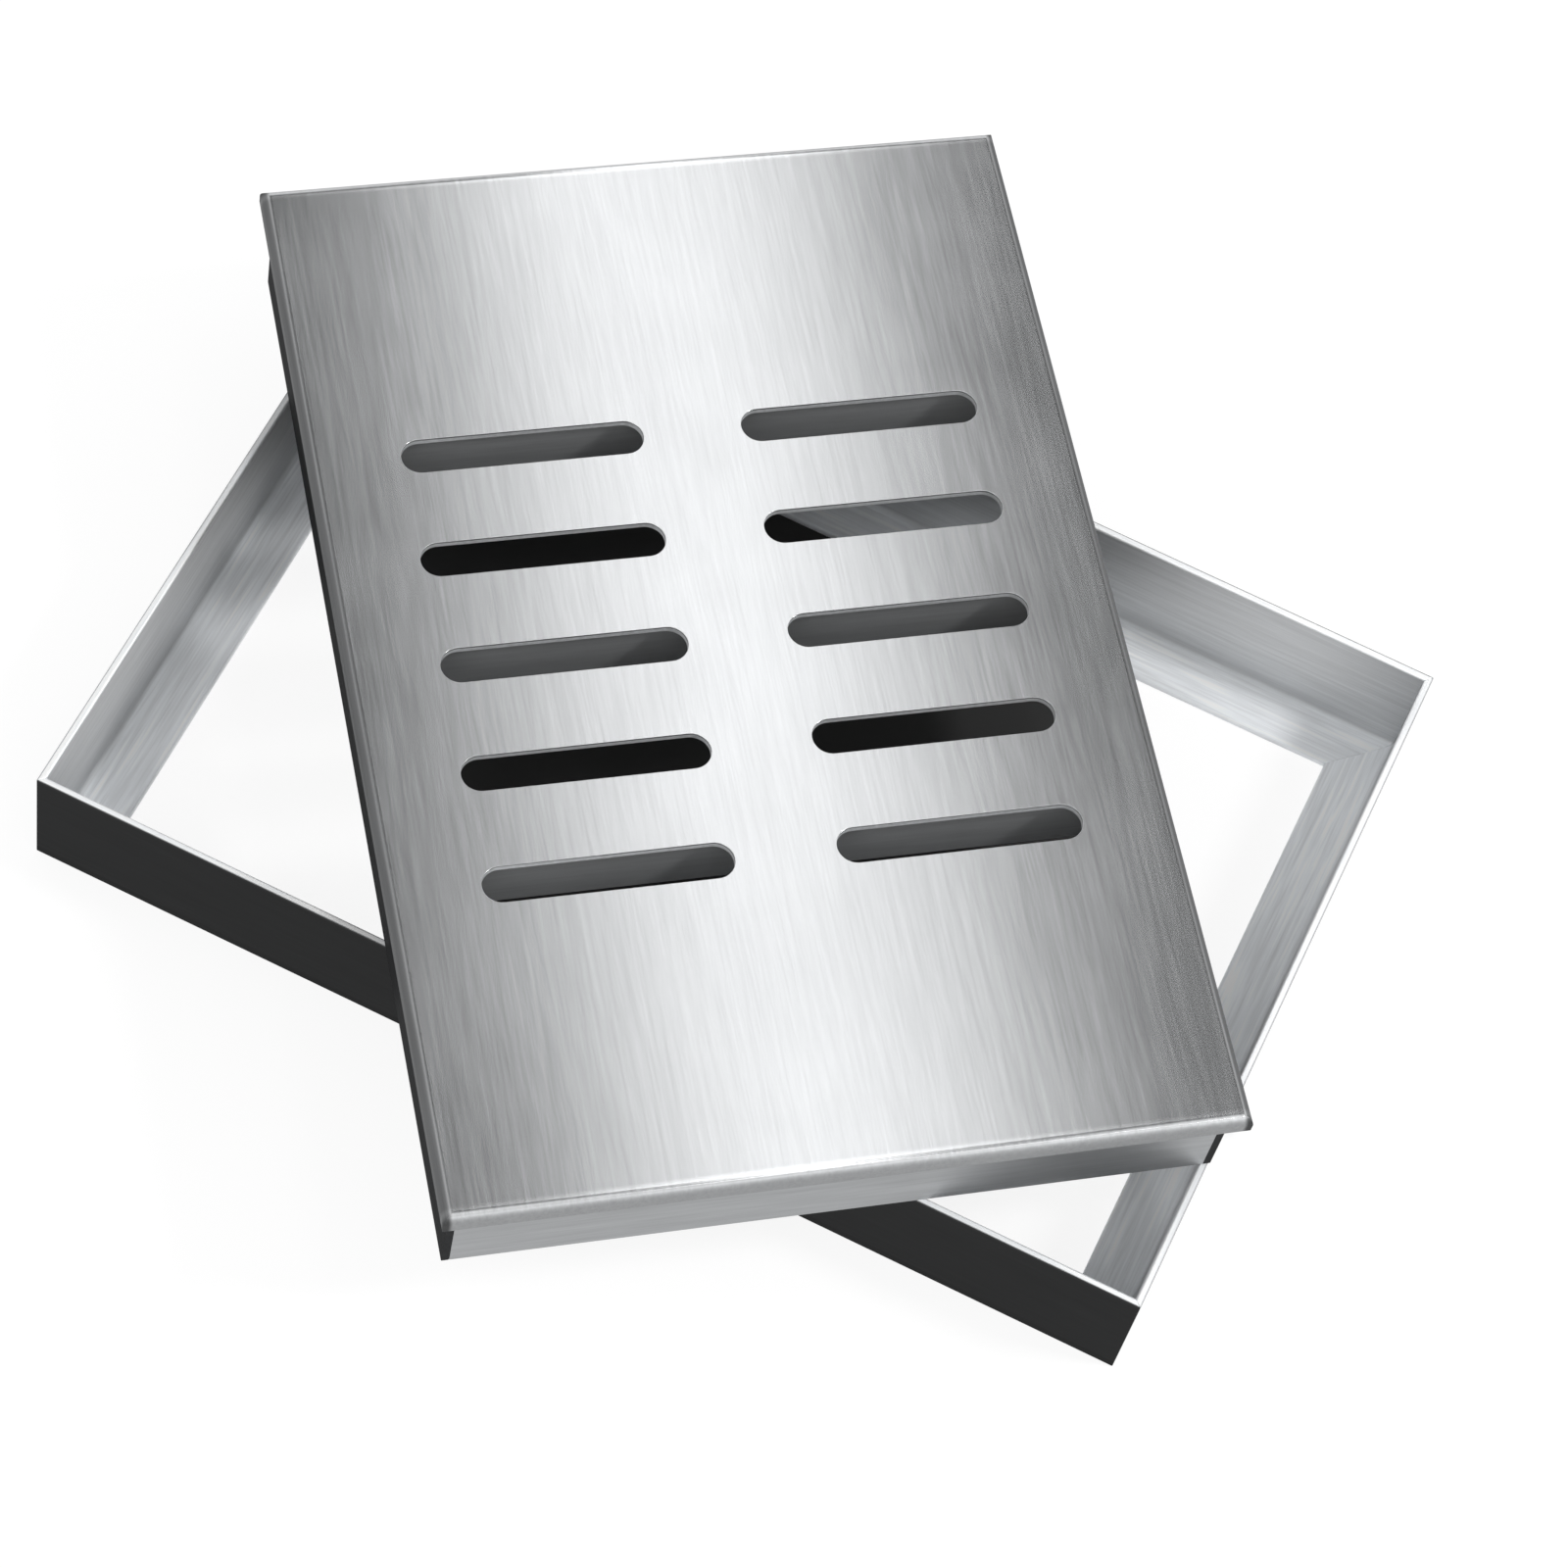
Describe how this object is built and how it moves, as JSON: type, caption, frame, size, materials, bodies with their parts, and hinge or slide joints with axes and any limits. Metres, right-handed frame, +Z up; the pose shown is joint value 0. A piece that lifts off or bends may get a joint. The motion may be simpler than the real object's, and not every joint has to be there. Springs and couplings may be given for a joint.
{
  "type": "drain grate",
  "caption": "Rectangular stainless steel drain cover with rounded slots, folded edges and a deep skirt, lying turned across its separate mitred angle frame with an inner ledge",
  "frame": {"origin": "on the frame's underside, at the centre of the frame's opening, which is also the centre of the whole part seen from above", "axes": "+Z is up, away from the ground the frame lies on. The cover's width runs along X and its length along Y, its front end at -Y. The frame's long sides run along X turned by 36 degrees clockwise seen from above."},
  "size_m": [0.553, 0.5198, 0.107],
  "materials": {
    "cover_steel": "brushed along the cover's length",
    "skirt_steel": "brushed along each bar",
    "frame_steel": "brushed along each length of angle"
  },
  "bodies": {
    "root": {"cover_plate": "cover_steel", "skirt_side_left": "skirt_steel", "skirt_side_right": "skirt_steel", "skirt_end_front": "skirt_steel", "skirt_end_back": "skirt_steel", "stiffener_front": "skirt_steel", "stiffener_middle": "skirt_steel", "stiffener_back": "skirt_steel", "frame_side_front": "frame_steel", "frame_side_back": "frame_steel", "frame_end_left": "frame_steel", "frame_end_right": "frame_steel"}
  },
  "joints": []
}
